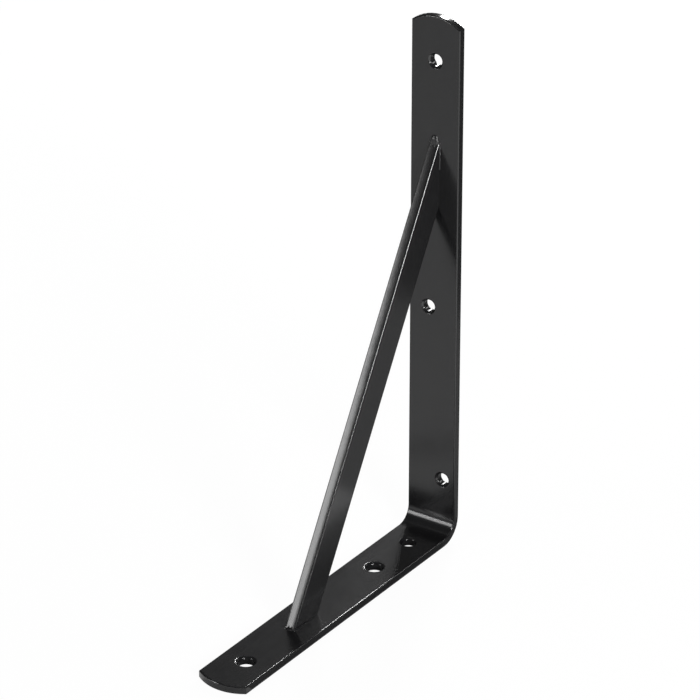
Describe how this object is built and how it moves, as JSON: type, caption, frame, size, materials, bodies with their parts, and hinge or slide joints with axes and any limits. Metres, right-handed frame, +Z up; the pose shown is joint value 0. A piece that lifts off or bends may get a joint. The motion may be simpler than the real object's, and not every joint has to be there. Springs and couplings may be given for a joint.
{
  "type": "reinforced angle bracket",
  "caption": "L-shaped steel bracket folded from flat bar, with a welded diagonal brace set on edge, round leg ends and screw holes in both legs.",
  "frame": {"origin": "middle of the short leg's underside, at the centre of the part's box seen from above", "axes": "+Z up along the long leg, +X along the short leg from the fold to its tip, Y across the bar's width"},
  "size_m": [0.203, 0.03, 0.305],
  "materials": {
    "black_paint": "black stoved paint, satin to gloss, over rolled steel bar",
    "weld_paint": "the same black paint over a rippled weld bead"
  },
  "bodies": {
    "root": {"angle_bar": "black_paint", "brace_bar": "black_paint", "upper_weld": "weld_paint", "foot_weld": "weld_paint"}
  },
  "joints": []
}
